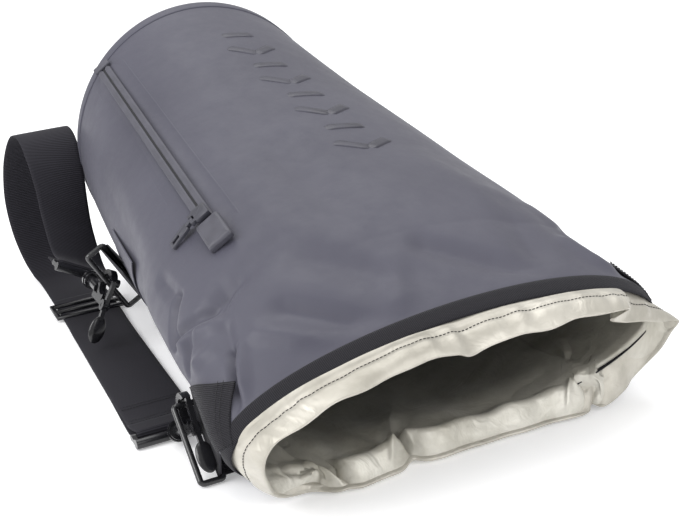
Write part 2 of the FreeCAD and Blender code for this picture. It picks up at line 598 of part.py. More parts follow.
doc.recompute()
for item in doc.Objects:
    if "Invalid" in item.State or "Error" in item.State:
        raise RuntimeError(f"{item.Label} did not rebuild: {item.State}")
os.makedirs("parts", exist_ok=True)
whole = FreeCAD.BoundBox()
for item in NODES:
    shape = item.Shape
    if shape.isNull() or not shape.isValid() or shape.Volume < 0.5:
        raise RuntimeError(f"{item.Label} has no valid shape")
    shape.exportStep(f"parts/{item.Label}.step")
    whole.add(shape.BoundBox)
    box = shape.BoundBox
    print(f"{item.Label:18s} solids {len(shape.Solids):2d} volume {shape.Volume:10.1f} "
          f"x {box.XMin:7.1f} {box.XMax:7.1f} y {box.YMin:7.1f} {box.YMax:7.1f} "
          f"z {box.ZMin:6.1f} {box.ZMax:6.1f}")
print(f"{len(NODES)} nodes, x {whole.XMin:.2f} {whole.XMax:.2f} y {whole.YMin:.2f} "
      f"{whole.YMax:.2f} z {whole.ZMin:.2f} {whole.ZMax:.2f}")
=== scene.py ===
import math

import bmesh
import bpy
import numpy as np
from mathutils import Matrix, Vector


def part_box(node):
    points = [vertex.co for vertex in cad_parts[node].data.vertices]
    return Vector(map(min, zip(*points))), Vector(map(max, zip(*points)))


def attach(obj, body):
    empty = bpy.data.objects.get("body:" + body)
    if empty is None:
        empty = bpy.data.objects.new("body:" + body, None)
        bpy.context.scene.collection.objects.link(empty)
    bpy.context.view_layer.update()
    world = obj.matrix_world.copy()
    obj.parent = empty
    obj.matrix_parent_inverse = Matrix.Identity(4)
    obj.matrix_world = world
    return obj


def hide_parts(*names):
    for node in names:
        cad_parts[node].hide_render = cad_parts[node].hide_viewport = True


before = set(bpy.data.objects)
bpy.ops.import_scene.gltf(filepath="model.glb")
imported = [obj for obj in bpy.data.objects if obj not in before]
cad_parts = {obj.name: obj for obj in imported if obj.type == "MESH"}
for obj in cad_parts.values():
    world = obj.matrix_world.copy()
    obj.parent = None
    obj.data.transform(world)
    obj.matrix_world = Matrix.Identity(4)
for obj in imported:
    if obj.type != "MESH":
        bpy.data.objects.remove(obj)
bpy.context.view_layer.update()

mm = 0.001

# the bag's centreline and the plane of its mouth binding, read from the frame
baseLow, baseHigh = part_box("base_panel")
centreLine = baseLow.x * 0.5 + baseHigh.x * 0.5
mouthLine = baseHigh.y - 438 * mm


def atMany(points):  # from millimetres across, along and up to the frame's metres
    out = np.array(points, float) * mm
    out[..., 0] += centreLine
    out[..., 1] += mouthLine
    return out


def smoothThrough(keys, values, where):  # a curve through the keys, level where they turn
    keys = np.asarray(keys, float)
    values = np.asarray(values, float)
    slopes = np.gradient(values, keys)
    spot = np.clip(np.searchsorted(keys, where) - 1, 0, len(keys) - 2)
    span = keys[spot + 1] - keys[spot]
    t = np.clip((where - keys[spot]) / span, 0, 1)
    low, high = values[spot], values[spot + 1]
    rise = (high - low)
    a, b = slopes[spot] * span, slopes[spot + 1] * span
    return low + a * t + (3 * rise - 2 * a - b) * t ** 2 + (a + b - 2 * rise) * t ** 3


def closedThrough(table, count):  # a closed smooth curve through a table's rows
    table = np.asarray(table, float)
    rows = len(table)
    where = np.linspace(0, rows, count, endpoint=False)
    low = where.astype(int)
    t = (where - low)[:, None]
    p = [table[(low + shift) % rows] for shift in (-1, 0, 1, 2)]
    return 0.5 * (2 * p[1] + (p[2] - p[0]) * t + (2 * p[0] - 5 * p[1] + 4 * p[2] - p[3]) * t ** 2
                  + (3 * p[1] - p[0] - 3 * p[2] + p[3]) * t ** 3)


def openThrough(points, step):  # an open smooth line through points, sampled about every step
    points = np.asarray(points, float)
    padded = np.vstack([2 * points[0] - points[1], points, 2 * points[-1] - points[-2]])
    line = []
    for i in range(1, len(padded) - 2):
        p = padded[i - 1:i + 3]
        parts = max(2, int(np.linalg.norm(p[2] - p[1]) / step))
        for t in np.arange(parts) / parts:
            line.append(0.5 * (2 * p[1] + (p[2] - p[0]) * t
                               + (2 * p[0] - 5 * p[1] + 4 * p[2] - p[3]) * t ** 2
                               + (3 * p[1] - p[0] - 3 * p[2] + p[3]) * t ** 3))
    line.append(points[-1])
    return np.array(line)


def distanceAlong(line):
    return np.concatenate([[0], np.cumsum(np.linalg.norm(np.diff(line, axis=0), axis=1))])


def anglesRound(count):
    return np.linspace(0, 2 * math.pi, count, endpoint=False)


# materials

def newMaterial(name, colour, roughness, **sockets):
    material = bpy.data.materials.new(name)
    material.use_nodes = True
    shader = material.node_tree.nodes["Principled BSDF"]
    shader.inputs["Base Color"].default_value = (*colour, 1)
    shader.inputs["Roughness"].default_value = roughness
    for socket, value in sockets.items():
        shader.inputs[socket.replace("_", " ")].default_value = value
    return material


def addNode(material, kind, **values):
    node = material.node_tree.nodes.new(kind)
    for name, value in values.items():
        if name in node.inputs:
            node.inputs[name].default_value = value
        else:
            setattr(node, name, value)
    return node


def wire(material, source, sink):
    material.node_tree.links.new(source, sink)


def coordinates(material, kind="Object", scale=(1, 1, 1), turn=(0, 0, 0)):
    source = addNode(material, "ShaderNodeTexCoord")
    mapping = addNode(material, "ShaderNodeMapping")
    mapping.inputs["Scale"].default_value = scale
    mapping.inputs["Rotation"].default_value = turn
    wire(material, source.outputs[kind], mapping.inputs["Vector"])
    return mapping.outputs["Vector"]


def noiseNode(material, vector, scale, detail=3.0, roughness=0.5, distortion=0.0):
    node = addNode(material, "ShaderNodeTexNoise", Scale=scale, Detail=detail,
                   Roughness=roughness, Distortion=distortion)
    wire(material, vector, node.inputs["Vector"])
    return node.outputs["Fac"]


def rampNode(material, value, *stops):
    node = addNode(material, "ShaderNodeValToRGB")
    ramp = node.color_ramp
    while len(ramp.elements) < len(stops):
        ramp.elements.new(0.5)
    for element, (position, colour) in zip(ramp.elements, stops):
        element.position = position
        element.color = (*colour, 1) if len(colour) == 3 else colour
    wire(material, value, node.inputs["Fac"])
    return node.outputs["Color"]


def bumpNode(material, height, strength, distance, before=None):
    node = addNode(material, "ShaderNodeBump", Strength=strength, Distance=distance)
    wire(material, height, node.inputs["Height"])
    if before is not None:
        wire(material, before, node.inputs["Normal"])
    return node.outputs["Normal"]


def finishWith(material, normal=None, colour=None, roughness=None):
    shader = material.node_tree.nodes["Principled BSDF"]
    for socket, source in (("Normal", normal), ("Base Color", colour), ("Roughness", roughness)):
        if source is not None:
            wire(material, source, shader.inputs[socket])
    return material


def coatedCloth():  # matte welded fabric: faint weave under the coating, soft dents and scuffs
    material = newMaterial("coatedCloth", (0.060, 0.059, 0.081), 0.52, Specular_IOR_Level=0.38,
                           Sheen_Weight=0.08, Sheen_Roughness=0.5)
    vector = coordinates(material)
    soft = noiseNode(material, vector, 7.0, 2.0)
    grain = noiseNode(material, vector, 1500.0, 2.0)
    weave = addNode(material, "ShaderNodeTexVoronoi", Scale=900.0)
    wire(material, vector, weave.inputs["Vector"])
    dents = noiseNode(material, vector, 26.0, 3.0, 0.45, 0.6)
    colour = rampNode(material, soft, (0.3, (0.050, 0.049, 0.070)), (0.7, (0.069, 0.068, 0.092)))
    scuffs = noiseNode(material, vector, 60.0, 6.0, 0.7)
    rough = rampNode(material, scuffs, (0.35, (0.46, 0.46, 0.46)), (0.7, (0.6, 0.6, 0.6)))
    normal = bumpNode(material, dents, 0.3, 0.002)
    normal = bumpNode(material, weave.outputs["Distance"], 0.12, 0.0002, normal)
    normal = bumpNode(material, grain, 0.15, 0.0001, normal)
    return finishWith(material, normal, colour, rough)


def silverCloth(name, dark=False):  # satin silver coating, finely crumpled, worn in places
    material = newMaterial(name, (0.66, 0.63, 0.54), 0.4, Metallic=0.28, Specular_IOR_Level=0.6,
                           Sheen_Weight=0.1)
    vector = coordinates(material)
    blotch = noiseNode(material, vector, 22.0, 5.0, 0.6, 0.4)
    streak = noiseNode(material, coordinates(material, scale=(1, 0.28, 1)), 90.0, 4.0, 0.6, 1.2)
    crumple = addNode(material, "ShaderNodeTexVoronoi", Scale=55.0, feature="DISTANCE_TO_EDGE")
    warp = addNode(material, "ShaderNodeVectorMath", operation="ADD")
    wire(material, vector, warp.inputs[0])
    shift = addNode(material, "ShaderNodeTexNoise", Scale=30.0, Detail=2.0)
    small = addNode(material, "ShaderNodeVectorMath", operation="SCALE")
    small.inputs["Scale"].default_value = 0.03
    wire(material, vector, shift.inputs["Vector"])
    wire(material, shift.outputs["Color"], small.inputs[0])
    wire(material, small.outputs[0], warp.inputs[1])
    wire(material, warp.outputs[0], crumple.inputs["Vector"])
    folds = noiseNode(material, warp.outputs[0], 34.0, 4.0, 0.55, 0.9)
    weave = noiseNode(material, vector, 1400.0, 1.0)
    bright, shade = (0.53, 0.505, 0.445), (0.37, 0.35, 0.30)
    # the lining's copy is set brighter at the mouth, then darkened by painted shade further in
    if dark:
        bright, shade = (0.66, 0.64, 0.575), (0.42, 0.40, 0.34)
    colour = rampNode(material, blotch, (0.34, shade), (0.6, bright))
    if dark:  # painted shade: the lining's colour is darkened with depth behind the mouth, where the inside of the bag lies in shade
        parts = addNode(material, "ShaderNodeSeparateXYZ")
        wire(material, vector, parts.inputs[0])
        depth = addNode(material, "ShaderNodeMapRange")
        for socket, value in (("From Min", -0.238), ("From Max", -0.165),
                              ("To Min", 1.0), ("To Max", 0.3)):
            depth.inputs[socket].default_value = value
        wire(material, parts.outputs["Y"], depth.inputs["Value"])
        depthShade = addNode(material, "ShaderNodeVectorMath", operation="SCALE")
        wire(material, colour, depthShade.inputs[0])
        wire(material, depth.outputs["Result"], depthShade.inputs["Scale"])
        colour = depthShade.outputs[0]
    rough = rampNode(material, streak, (0.3, (0.33, 0.33, 0.33)), (0.7, (0.5, 0.5, 0.5)))
    normal = bumpNode(material, folds, 0.42, 0.0042)
    normal = bumpNode(material, crumple.outputs["Distance"], 0.22, 0.0022, normal)
    normal = bumpNode(material, streak, 0.16, 0.0008, normal)
    normal = bumpNode(material, weave, 0.12, 0.0001, normal)
    return finishWith(material, normal, colour, rough)


def webbing(name, ribPitch, along, depth=0.00035, tone=(0.013, 0.0125, 0.0155)):
    # ribbed or plain webbing: its ribs follow the piece's own UV map, kept in metres
    material = newMaterial(name, tone, 0.72, Specular_IOR_Level=0.18, Sheen_Weight=0.06,
                           Sheen_Roughness=0.4)
    vector = coordinates(material, "UV")
    ribs = addNode(material, "ShaderNodeTexWave", wave_type="BANDS",
                   bands_direction="Y" if along else "X", wave_profile="SIN",
                   Distortion=0.0)
    ribs.inputs["Scale"].default_value = 0.314159 / ribPitch
    wire(material, vector, ribs.inputs["Vector"])
    picks = addNode(material, "ShaderNodeTexWave", wave_type="BANDS",
                    bands_direction="X" if along else "Y", wave_profile="SIN", Distortion=0.6)
    picks.inputs["Scale"].default_value = 0.314159 / 0.0009
    wire(material, vector, picks.inputs["Vector"])
    fuzz = noiseNode(material, vector, 2600.0, 2.0)
    # painted shade and highlight: the colour follows the rib relief, darker in the grooves and
    # lighter on the crests
    colour = rampNode(material, ribs.outputs["Fac"], (0.0, tuple(v * 0.5 for v in tone)),
                      (1.0, tuple(v * 2.1 for v in tone)))
    normal = bumpNode(material, ribs.outputs["Fac"], 0.8, depth)
    normal = bumpNode(material, picks.outputs["Fac"], 0.35, 0.00018, normal)
    normal = bumpNode(material, fuzz, 0.3, 0.0001, normal)
    return finishWith(material, normal, colour)


def moulded(name, colour, roughness, grain=0.2, **sockets):  # moulded or painted hardware
    material = newMaterial(name, colour, roughness, **sockets)
    vector = coordinates(material)
    spots = noiseNode(material, vector, 420.0, 4.0, 0.6)
    wear = noiseNode(material, vector, 70.0, 4.0, 0.6)
    smooth, worn = (roughness * 0.8,) * 3, (roughness * 1.35,) * 3
    rough = rampNode(material, wear, (0.3, smooth), (0.75, worn))
    normal = bumpNode(material, spots, grain, 0.00006)
    tone = rampNode(material, wear, (0.3, tuple(v * 0.8 for v in colour)),
                    (0.8, tuple(v * 1.25 for v in colour)))
    return finishWith(material, normal, tone, rough)


shellCloth = coatedCloth()
hemCloth = silverCloth("hemCloth")
# the lining's copy, with painted shade that deepens behind the mouth
innerCloth = silverCloth("innerCloth", dark=True)
tapeWeb = webbing("tapeWeb", 0.00115, False, 0.0004)
tabWeb = webbing("tabWeb", 0.00135, False, 0.0005)
strapWeb = webbing("strapWeb", 0.0016, True, 0.00012, (0.015, 0.0143, 0.0185))
threadBlack = moulded("threadBlack", (0.012, 0.012, 0.014), 0.6)
zipRubber = moulded("zipRubber", (0.066, 0.065, 0.082), 0.5, 0.35)
zipSatin = moulded("zipSatin", (0.045, 0.045, 0.058), 0.38, 0.2)
markRubber = moulded("markRubber", (0.040, 0.039, 0.055), 0.36, 0.15)
zipDark = moulded("zipDark", (0.012, 0.012, 0.015), 0.45)
glossBlack = moulded("glossBlack", (0.011, 0.011, 0.013), 0.2, 0.12, Specular_IOR_Level=0.6)
metalBlack = moulded("metalBlack", (0.014, 0.014, 0.016), 0.24, 0.1, Coat_Weight=0.4)
print("materials made")


# mesh helpers

def newObject(name, mesh, material, body="bag", stands=()):
    piece = bpy.data.objects.new(name, mesh)
    bpy.context.scene.collection.objects.link(piece)
    if material is not None:
        mesh.materials.clear()
        mesh.materials.append(material)
    if stands:
        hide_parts(*stands)
    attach(piece, body)
    return piece


def gridMesh(name, points, closedAcross=False, uv=None, flip=False):
    # points is a rows x columns x 3 array in metres, and uv a rows x columns x 2 one
    rows, columns = points.shape[:2]
    mesh = bpy.data.meshes.new(name)
    faces = []
    lastColumn = columns if closedAcross else columns - 1
    for row in range(rows - 1):
        for column in range(lastColumn):
            after = (column + 1) % columns
            face = [row * columns + column, row * columns + after,
                    (row + 1) * columns + after, (row + 1) * columns + column]
            faces.append(face[::-1] if flip else face)
    mesh.from_pydata(points.reshape(-1, 3).tolist(), [], faces)
    if uv is not None:
        layer = mesh.uv_layers.new(name="UVMap")
        flat = uv.reshape(-1, 2)
        loopVertex = np.zeros(len(mesh.loops), int)
        mesh.loops.foreach_get("vertex_index", loopVertex)
        values = flat[loopVertex]
        if closedAcross:  # the last column's faces run on past the seam
            perRow = columns * 4
            step = uv[:, 1, 0] - uv[:, 0, 0]
            for row in range(rows - 1):
                start = row * perRow + (columns - 1) * 4
                for corner in range(4):
                    line, column = divmod(loopVertex[start + corner], columns)
                    if column == 0:
                        values[start + corner, 0] = uv[line, -1, 0] + step[line]
        layer.data.foreach_set("uv", values.ravel())
    mesh.shade_smooth()
    return mesh


def capEnds(mesh):  # closes a tube's two ends
    bm = bmesh.new()
    bm.from_mesh(mesh)
    bmesh.ops.holes_fill(bm, edges=[e for e in bm.edges if e.is_boundary], sides=0)
    bmesh.ops.recalc_face_normals(bm, faces=bm.faces)
    bm.to_mesh(mesh)
    bm.free()
    mesh.shade_smooth()


def thicken(piece, thickness, offset=-1.0):
    solid = piece.modifiers.new("wall", "SOLIDIFY")
    solid.thickness = thickness
    solid.offset = offset
    solid.use_even_offset = False
    return piece


def applied(piece):  # the evaluated mesh takes the place of the live modifiers
    graph = bpy.context.evaluated_depsgraph_get()
    made = bpy.data.meshes.new_from_object(piece.evaluated_get(graph))
    piece.modifiers.clear()
    piece.data = made
    return piece


# the bag's outside: ellipses from the flat mouth to the round base

bag = {
    "along": (-17, 8, 62, 185, 320, 436),
    "half": (150, 156, 152, 142.5, 129, 115),
    "rise": (47, 53, 68, 84, 100, 115),
    "pitch": (20, 9, 0, 0, 0, 0),
    "tilt": (3.5, 3.5, 0, 0, 0, 0),
    "lift": (1.5, 1.5, -1.6, -1.6, -1.6, 1.3),
    "length": 436.0, "wall": 0.9, "floorGap": 0.15, "foldDepth": 1.3,
    "zipAngle": 127.0,  # the fabric is held flat along the zip
}


def bagSection(along):  # half width, half height, pitch, tilt and lift of the ellipse there
    half, rise = (smoothThrough(bag["along"], bag[key], along) for key in ("half", "rise"))
    pitch, tilt, lift = (np.interp(along, bag["along"], bag[key])
                         for key in ("pitch", "tilt", "lift"))
    return half, rise, np.radians(pitch), np.radians(tilt), lift


def bagPoints(angle, along, out=0.0):  # angle 0 is the right side and a quarter turn is the top
    half, rise, pitch, tilt, lift = bagSection(along)
    half, rise = half + out, rise + out
    acrossFlat = half * np.cos(angle)
    upFlat = rise * np.sin(angle)
    across = acrossFlat * np.cos(tilt) - upFlat * np.sin(tilt)
    up = acrossFlat * np.sin(tilt) + upFlat * np.cos(tilt)
    lean = np.hypot((half - out) * np.sin(tilt), (rise - out) * np.cos(tilt))
    height = lean * np.cos(pitch) + lift + up * np.cos(pitch)
    floorAt = bag["floorGap"] - np.minimum(out, 0.0)
    height = floorAt + np.logaddexp(0, (height - floorAt) / 1.2) * 1.2 - 1.2 * 0.02
    return np.stack([across, along - up * np.sin(pitch), np.maximum(height, floorAt)], -1)


# soft folds in the coated fabric: each runs between two (angle, along) spots
folds = [
    # angle, along, angle, along, width in mm, depth in mm, how sharp
    (158, 2, 149, 42, 4.5, -6.0, 1.0),
    (152, 4, 144, 40, 6.0, 3.6, 0.8),
    (149, 42, 143, 92, 9.0, -3.0, 0.6),
    (175, 98, 152, 78, 8.0, -6.0, 0.9),
    (152, 78, 138, 82, 11.0, -4.4, 0.6),
    (138, 82, 118, 96, 16.0, -3.2, 0.3),
    (170, 86, 148, 64, 9.0, 4.0, 0.6),
    (160, 118, 178, 101, 7.0, -4.6, 0.9),
    (163, 150, 160, 118, 9.0, -2.6, 0.6),
    (179, 71, 160, 79, 6.0, -4.2, 0.9),
    (168, 60, 156, 54, 8.0, 3.0, 0.6),
    (128, 44, 108, 10, 13.0, -4.4, 0.5),
    (137, 40, 121, 14, 11.0, 3.4, 0.5),
    (116, 70, 96, 30, 20.0, -3.4, 0.3),
    (100, 12, 96, 46, 14.0, 2.6, 0.3),
    (86, 50, 62, 12, 15.0, -4.2, 0.4),
    (58, 30, 52, 84, 20.0, -3.4, 0.3),
    (32, 62, 24, 12, 9.0, -5.0, 0.7),
    (42, 44, 33, 12, 9.0, 3.2, 0.5),
    (30, 20, 36, 92, 12.0, 2.4, 0.3),
    (52, 60, 66, 150, 26.0, 2.2, 0.1),
    (176, 190, 165, 330, 20.0, -2.6, 0.2),
    (182, 90, 178, 200, 14.0, 2.0, 0.2),
    (100, 120, 104, 220, 30.0, -2.6, 0.1),
    (8, 40, 18, 150, 18.0, -3.6, 0.3),
    (-8, 60, 6, 210, 16.0, 2.6, 0.3),
    (20, 200, 12, 330, 22.0, -2.6, 0.2),
]


def foldHeight(points):  # how far each point stands out or in, in millimetres
    total = np.zeros(points.shape[:-1])
    for angleA, alongA, angleB, alongB, width, depth, sharp in folds:
        ends = bagPoints(np.radians([angleA, angleB]), np.array([alongA, alongB], float))
        line = ends[1] - ends[0]
        length = np.linalg.norm(line)
        offset = points - ends[0]
        share = (offset @ line) / length ** 2
        near = np.linalg.norm(offset - np.clip(share, 0, 1)[..., None] * line, axis=-1)
        taper = np.clip(1.25 - 0.55 * np.abs(2 * share - 0.7), 0, 1)
        across = near / width
        crisp = np.clip(1 - across, 0, 1) ** 1.3
        round_ = np.exp(-across ** 2 * 1.6)
        total += depth * taper * (sharp * crisp + (1 - sharp) * round_)
    return total * bag["foldDepth"]


def ripple(points, scale, seed):  # a slow wander made of a few sine waves
    wave = np.zeros(points.shape[:-1])
    for turn in range(4):
        a = seed + turn * 2.1
        direction = np.array([math.cos(a), math.sin(a * 1.7), math.cos(a * 2.3)])
        wave += np.sin(points @ direction / scale * (0.6 + 0.35 * turn) + a)
    return wave / 4


def dressedBag(angle, along, out=0.0):  # the bag's outside with its folds, in millimetres
    points = bagPoints(angle, along, out)
    outer = bagPoints(angle, along, out + 1.0)
    normal = outer - points
    normal /= np.maximum(np.linalg.norm(normal, axis=-1, keepdims=True), 1e-6)
    stand = foldHeight(bagPoints(angle, along)) + 0.9 * ripple(points, 34.0, 1.3)
    fade = np.clip((430 - along) / 40, 0, 1) * np.clip((along - 8) / 12, 0, 1)
    fade = fade * np.clip((points[..., 2] - 3) / 14, 0, 1)
    onZip = np.clip(1.6 - np.abs(np.degrees(angle) - bag["zipAngle"]) / 14, 0, 1)
    onZip = onZip * np.clip((along - 110) / 14, 0, 1)
    moved = points + normal * (stand * fade * (1 - onZip))[..., None]
    moved[..., 2] = np.maximum(moved[..., 2], bag["floorGap"])
    return moved


def insideBag(angle, along, gap):  # the lining: behind the outside's inward folds by gap
    inward = np.minimum(foldHeight(bagPoints(angle, along)), 0) * 1.3
    return bagPoints(angle, along, inward - gap)


def heldInside(points, gap):  # keeps points behind the binding within the bag by gap
    along = points[:, 1].copy()
    for again in range(3):
        half, rise, pitch, tilt, lift = bagSection(along)
        lean = np.hypot(half * np.sin(tilt), rise * np.cos(tilt)) * np.cos(pitch) + lift
        up = (points[:, 2] - lean) / np.cos(pitch)
        along = points[:, 1] + up * np.sin(pitch)
    across = points[:, 0] * np.cos(tilt) + up * np.sin(tilt)
    square = -points[:, 0] * np.sin(tilt) + up * np.cos(tilt)
    angle = np.arctan2(square / rise, across / half)
    size = np.hypot(across / half, square / rise)
    fold = np.minimum(foldHeight(bagPoints(angle, along)), 0) * np.clip((along - 4) / 12, 0, 1)
    fold = fold * 1.3 - 1.2 * np.clip(-fold / 3, 0, 1)
    limit = 1 - (gap - fold) / np.where(np.abs(np.sin(angle)) > 0.7, rise, half)
    share = np.clip((along + 9) / 8, 0, 1)
    keep = np.where(size > limit, 1 + (limit / np.maximum(size, 0.01) - 1) * share, 1.0)
    moved = points.copy()
    moved[:, 0] *= keep
    moved[:, 2] = lean + (points[:, 2] - lean) * keep
    return moved


def makeShell():
    alongRows = np.concatenate([np.linspace(1, 130, 92), np.linspace(132, 434, 104)])
    angles = anglesRound(420)
    angle, along = np.meshgrid(angles, alongRows)
    points = dressedBag(angle, along)
    # the end: a rounded edge turned in over the base panel
    edge = []
    for out, on in ((0.2, 436.2), (-0.6, 437.4), (-2.2, 438.0), (-6.0, 438.1), (-9.0, 437.7)):
        ring = bagPoints(angles, bag["length"], out)
        ring[:, 1] = on
        edge.append(ring)
    points = np.concatenate([points, np.array(edge)])
    mesh = gridMesh("bagShell", atMany(points), True, flip=True)
    shell = newObject("bagShell", mesh, shellCloth, "bag", ("outer_shell",))
    thicken(shell, bag["wall"] * mm)
    return shell


makeShell()
print("shell made")


# the base: a weld rim round the end and a disc that is slightly crowned

base = {"radius": 115.0, "weldWall": 0.8}


def makeBase():
    angles = anglesRound(200)
    rows = []
    for along, out in ((427.6, 0.05), (428.2, base["weldWall"]), (431, base["weldWall"]),
                       (434, base["weldWall"] * 1.05), (437, base["weldWall"]),
                       (437.9, base["weldWall"] * 0.4), (438.0, -1.0)):
        ring = bagPoints(angles, min(along, bag["length"]), out)
        ring[:, 1] = along
        rows.append(ring)
    mesh = gridMesh("baseWeld", atMany(np.array(rows)), True, flip=True)
    rim = newObject("baseWeld", mesh, shellCloth, "bag", ("base_weld_rim",))
    thicken(rim, 0.5 * mm)
    rows = []
    middle = base["radius"] + 1.35
    for radius, bulge in ((107.5, -0.4), (107.0, 0.0), (104.6, 0.0), (104.0, -0.45), (100.0, -0.4),
                          (80.0, -0.2), (55.0, 0.0), (30.0, 0.1), (10.0, 0.1), (0.2, 0.1)):
        rows.append(np.stack([radius * np.cos(angles), np.full(len(angles), 437.6 + bulge),
                              middle + radius * np.sin(angles)], -1))
    mesh = gridMesh("basePanel", atMany(np.array(rows)), True, flip=True)
    bm = bmesh.new()
    bm.from_mesh(mesh)
    bmesh.ops.remove_doubles(bm, verts=bm.verts, dist=0.0005)
    bm.to_mesh(mesh)
    bm.free()
    panel = newObject("basePanel", mesh, shellCloth, "bag", ("base_panel",))
    thicken(panel, 1.5 * mm)


makeBase()
print("base made")


# the mouth: the hem's facing in front of the binding, its drooping lip and the lining behind it

mouth = {
    "columns": 720,
    # the lip's line: angle on the binding, then across, along and height
    "lip": [
        (0, 163, -13, 47), (8, 168, -15, 55), (15, 150, -18, 61), (21, 132, -23, 67),
        (26, 112, -25, 74), (31, 104, -29, 80), (36, 112, -33, 86), (43, 104, -35, 88),
        (55, 84, -36, 90.5), (68, 52, -36.5, 89.5), (80, 24, -36.5, 90.5), (90, -4, -36, 87),
        (96, -17, -36, 91.5), (105, -40, -36, 91), (117, -68, -36, 86.5), (129, -92, -36, 80.5),
        (140, -108, -36, 76.5), (150, -122, -36, 71.5), (159, -136, -33, 65), (167, -142, -28, 54),
        (175, -142, -21, 40),
        (184, -137, -13, 25), (194, -131, -5, 13), (205, -121, 1, 5), (218, -103, 1, 2.4),
        (228, -90, -7, 2.2), (234, -81, -8, 2.6), (240, -72, -10, 2.2), (248, -55, -8, 2.2),
        (255, -42, -6, 2.2), (260, -32, 0, 3.4), (265, -22, -4, 2.2), (276, 8, -6, 2.2),
        (290, 42, -6, 2.2), (303, 76, -7, 2.2), (313, 98, -7, 2.4), (317, 105, -2, 4.5),
        (321, 112, -7, 3.2), (330, 132, -4, 8), (338, 143, 2, 12), (344, 152, 1, 20),
        (352, 160, -6, 33),
    ],
    # pleats that run in from the lip: angle, depth, width in degrees, drift in degrees, reach
    "pleats": [
        (338, 7, 5, 12, 0.9), (350, 5, 6, 8, 0.8), (206, 5, 6, 6, 0.9),
        (322, 5, 4, 26, 0.9), (306, 4, 5, 34, 0.9), (22, 5, 6, 6, 0.6), (190, -4, 6, -4, 0.6),
        (250, 4, 5, 26, 0.9), (224, 4, 5, -14, 0.8),
        (72, 3, 8, 6, 0.5), (118, 4, 8, -8, 0.6), (150, 4, 7, 4, 0.6),
    ],
    # valleys that pin the lower lip to the floor: angle, width in degrees, drift, reach
    "valleys": [(234, 8, -24, 0.95), (317, 8, 22, 0.95), (260, 4.5, -26, 0.45),
                (336, 6, 10, 0.7)],
    "bulge": (12.5, 6.0),  # how far the lower lip stands up behind its edge, and further in
    "stitchShare": 0.44,
    "liningReach": 118.0, "liningGap": 4.2,
}


def mouthColumns():
    table = np.array(mouth["lip"], float)
    lip = closedThrough(table[:, 1:], mouth["columns"])
    turns = table[:, 0]
    where = np.linspace(0, len(table), mouth["columns"], endpoint=False)
    angle = np.radians(np.interp(where, np.arange(len(table) + 1), np.append(turns, 360.0)))
    upper = np.clip(np.sin(angle) * 2, 0, 1)
    wander = np.sin(lip[:, 0] / 9.0) + 0.7 * np.sin(lip[:, 0] / 5.3 + 1) + np.sin(lip[:, 0] / 21.0)
    lip[:, 2] += upper * wander * 0.5
    lip[:, 1] += wander * 0.5
    return angle, lip


mouthAngle, mouthLip = mouthColumns()
bindingFront = bagPoints(mouthAngle, -1.8, -0.2)


def slowRandom(count, knots, seed):  # a closed line of seeded bumps, from -1 to 1
    values = np.random.default_rng(seed).uniform(-1, 1, (knots, 1))
    values[np.abs(values) < 0.35] *= 0.2
    return closedThrough(values, count)[:, 0]


